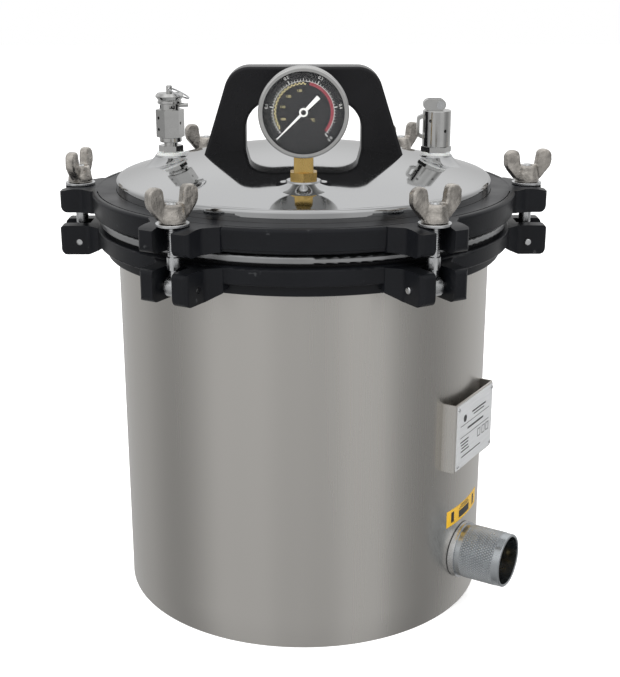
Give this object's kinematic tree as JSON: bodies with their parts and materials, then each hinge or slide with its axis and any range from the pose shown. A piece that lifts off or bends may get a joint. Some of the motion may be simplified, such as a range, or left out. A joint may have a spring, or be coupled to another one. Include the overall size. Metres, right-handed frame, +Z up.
{
  "type": "benchtop autoclave",
  "caption": "Round stainless benchtop autoclave with swing bolts and wing nuts round a lift-off domed lid carrying a handle, dial gauge, relief valve and vent valve.",
  "frame": {"origin": "centre of the barrel's base, on the surface it stands on", "axes": "+Z up; the gauge faces -Y, the front; +X is to the right, where the vent valve, nameplate and inlet are"},
  "size_m": [0.3949, 0.3552, 0.438],
  "materials": {
    "barrel_steel": "satin rolled stainless sheet",
    "vessel_steel": "satin drawn stainless",
    "chrome": "mirror polished",
    "cast_black": "satin black paint on a casting",
    "handle_black": "moulded, low gloss",
    "cast_nickel": "cast, nickel plated",
    "zinc": "bright zinc plate",
    "brass": "machined",
    "white_seal": "plain white",
    "rubber": "matt",
    "black_plastic": "moulded",
    "plate": "brushed, printed with plain bars",
    "knurled_metal": "knurled",
    "dial": "black with a printed scale",
    "needle_white": "white paint",
    "clear_glass": "clear"
  },
  "bodies": {
    "body": {"outer_shell": "barrel_steel", "base_plate": "barrel_steel", "chamber": "vessel_steel", "body_ring": "cast_black", "clevis_pins": "zinc", "heating_element": "vessel_steel", "heater_fixings": "vessel_steel", "sieve_plate": "vessel_steel", "nameplate_bracket": "barrel_steel", "nameplate": "plate", "nameplate_rivets": "zinc", "inlet_gasket": "rubber", "inlet_collar": "zinc", "inlet_shroud": "knurled_metal", "terminal_block": "black_plastic", "contact_pins": "brass"},
    "lid": {"lid_dome": "chrome", "lid_ring": "cast_black", "lid_gasket": "rubber", "lid_handle": "handle_black", "handle_screws": "zinc", "gauge_case": "chrome", "gauge_bezel": "chrome", "gauge_dial": "dial", "gauge_glass": "clear_glass", "gauge_movement": "brass", "gauge_block": "brass", "gauge_nut": "brass", "fitting_seals": "white_seal", "valve_nuts": "chrome", "relief_body": "chrome", "vent_body": "chrome", "vent_clip": "chrome"},
    "gauge_needle": {"gauge_needle": "needle_white"},
    "relief_stem": {"relief_stem": "chrome", "relief_spring": "zinc"},
    "relief_ring": {"relief_ring": "zinc"},
    "vent_stem": {"vent_stem": "chrome", "lever_pin": "zinc"},
    "vent_lever": {"vent_lever": "chrome"},
    "basket": {"basket": "vessel_steel"},
    "basket_bail": {"basket_bail": "vessel_steel"},
    "eye_bolt_1": {"eye_bolt_1": "zinc"},
    "washer_1": {"washer_1": "zinc"},
    "wing_nut_1": {"wing_nut_1": "cast_nickel"},
    "eye_bolt_2": {"eye_bolt_2": "zinc"},
    "washer_2": {"washer_2": "zinc"},
    "wing_nut_2": {"wing_nut_2": "cast_nickel"},
    "eye_bolt_3": {"eye_bolt_3": "zinc"},
    "washer_3": {"washer_3": "zinc"},
    "wing_nut_3": {"wing_nut_3": "cast_nickel"},
    "eye_bolt_4": {"eye_bolt_4": "zinc"},
    "washer_4": {"washer_4": "zinc"},
    "wing_nut_4": {"wing_nut_4": "cast_nickel"},
    "eye_bolt_5": {"eye_bolt_5": "zinc"},
    "washer_5": {"washer_5": "zinc"},
    "wing_nut_5": {"wing_nut_5": "cast_nickel"},
    "eye_bolt_6": {"eye_bolt_6": "zinc"},
    "washer_6": {"washer_6": "zinc"},
    "wing_nut_6": {"wing_nut_6": "cast_nickel"}
  },
  "joints": [
    {"name": "lid_lift", "type": "slide", "parent": "body", "child": "lid", "axis": [0, 0, 1], "range_m": [0, 0.42]},
    {"name": "gauge_needle_turn", "type": "hinge", "parent": "lid", "child": "gauge_needle", "pos_m": [0, -0.1125, 0.406], "axis": [0, 1, 0], "range_deg": [0, 270]},
    {"name": "relief_pull", "type": "slide", "parent": "lid", "child": "relief_stem", "axis": [0, 0, 1], "range_m": [0, 0.0015], "stiffness_N_per_m": 800, "deforming": ["relief_spring"]},
    {"name": "relief_ring_swing", "type": "hinge", "parent": "relief_stem", "child": "relief_ring", "pos_m": [-0.106, 0, 0.4104], "axis": [0, -1, 0], "range_deg": [0, 128]},
    {"name": "vent_lever_flip", "type": "hinge", "parent": "vent_stem", "child": "vent_lever", "pos_m": [0.1082, 0, 0.398], "axis": [0, 1, 0], "range_deg": [0, 90]},
    {"name": "vent_stem_lift", "type": "slide", "parent": "lid", "child": "vent_stem", "axis": [0, 0, 1], "range_m": [0, 0.0012]},
    {"name": "basket_lift", "type": "slide", "parent": "body", "child": "basket", "axis": [0, 0, 1], "range_m": [0, 0.1]},
    {"name": "bail_swing", "type": "hinge", "parent": "basket", "child": "basket_bail", "pos_m": [0, 0, 0.211], "axis": [1, 0, 0], "range_deg": [0, 90]},
    {"name": "bolt_swing_1", "type": "hinge", "parent": "body", "child": "eye_bolt_1", "pos_m": [0.18, 0, 0.291], "axis": [0, -1, 0], "range_deg": [-120, 0]},
    {"name": "washer_swing_1", "type": "hinge", "parent": "lid", "child": "washer_1", "pos_m": [0.18, 0, 0.291], "axis": [0, -1, 0], "range_deg": [-120, 0]},
    {"name": "nut_turn_1", "type": "hinge", "parent": "washer_1", "child": "wing_nut_1", "pos_m": [0.18, 0, 0.34], "axis": [0, 0, 1], "continuous": true},
    {"name": "bolt_swing_2", "type": "hinge", "parent": "body", "child": "eye_bolt_2", "pos_m": [0.09, 0.15588, 0.291], "axis": [0.866, -0.5, 0], "range_deg": [-120, 0]},
    {"name": "washer_swing_2", "type": "hinge", "parent": "lid", "child": "washer_2", "pos_m": [0.09, 0.15588, 0.291], "axis": [0.866, -0.5, 0], "range_deg": [-120, 0]},
    {"name": "nut_turn_2", "type": "hinge", "parent": "washer_2", "child": "wing_nut_2", "pos_m": [0.09, 0.15588, 0.34], "axis": [0, 0, 1], "continuous": true},
    {"name": "bolt_swing_3", "type": "hinge", "parent": "body", "child": "eye_bolt_3", "pos_m": [-0.09, 0.15588, 0.291], "axis": [0.866, 0.5, 0], "range_deg": [-120, 0]},
    {"name": "washer_swing_3", "type": "hinge", "parent": "lid", "child": "washer_3", "pos_m": [-0.09, 0.15588, 0.291], "axis": [0.866, 0.5, 0], "range_deg": [-120, 0]},
    {"name": "nut_turn_3", "type": "hinge", "parent": "washer_3", "child": "wing_nut_3", "pos_m": [-0.09, 0.15588, 0.34], "axis": [0, 0, 1], "continuous": true},
    {"name": "bolt_swing_4", "type": "hinge", "parent": "body", "child": "eye_bolt_4", "pos_m": [-0.18, 0, 0.291], "axis": [0, 1, 0], "range_deg": [-120, 0]},
    {"name": "washer_swing_4", "type": "hinge", "parent": "lid", "child": "washer_4", "pos_m": [-0.18, 0, 0.291], "axis": [0, 1, 0], "range_deg": [-120, 0]},
    {"name": "nut_turn_4", "type": "hinge", "parent": "washer_4", "child": "wing_nut_4", "pos_m": [-0.18, 0, 0.34], "axis": [0, 0, 1], "continuous": true},
    {"name": "bolt_swing_5", "type": "hinge", "parent": "body", "child": "eye_bolt_5", "pos_m": [-0.09, -0.15588, 0.291], "axis": [-0.866, 0.5, 0], "range_deg": [-120, 0]},
    {"name": "washer_swing_5", "type": "hinge", "parent": "lid", "child": "washer_5", "pos_m": [-0.09, -0.15588, 0.291], "axis": [-0.866, 0.5, 0], "range_deg": [-120, 0]},
    {"name": "nut_turn_5", "type": "hinge", "parent": "washer_5", "child": "wing_nut_5", "pos_m": [-0.09, -0.15588, 0.34], "axis": [0, 0, 1], "continuous": true},
    {"name": "bolt_swing_6", "type": "hinge", "parent": "body", "child": "eye_bolt_6", "pos_m": [0.09, -0.15588, 0.291], "axis": [-0.866, -0.5, 0], "range_deg": [-120, 0]},
    {"name": "washer_swing_6", "type": "hinge", "parent": "lid", "child": "washer_6", "pos_m": [0.09, -0.15588, 0.291], "axis": [-0.866, -0.5, 0], "range_deg": [-120, 0]},
    {"name": "nut_turn_6", "type": "hinge", "parent": "washer_6", "child": "wing_nut_6", "pos_m": [0.09, -0.15588, 0.34], "axis": [0, 0, 1], "continuous": true}
  ],
  "couplings": [
    {"joint": "vent_lever_flip", "follows": "vent_stem_lift", "rad_per_m": 1309},
    {"joint": "washer_swing_1", "follows": "bolt_swing_1", "ratio": 1},
    {"joint": "washer_swing_2", "follows": "bolt_swing_2", "ratio": 1},
    {"joint": "washer_swing_3", "follows": "bolt_swing_3", "ratio": 1},
    {"joint": "washer_swing_4", "follows": "bolt_swing_4", "ratio": 1},
    {"joint": "washer_swing_5", "follows": "bolt_swing_5", "ratio": 1},
    {"joint": "washer_swing_6", "follows": "bolt_swing_6", "ratio": 1}
  ]
}
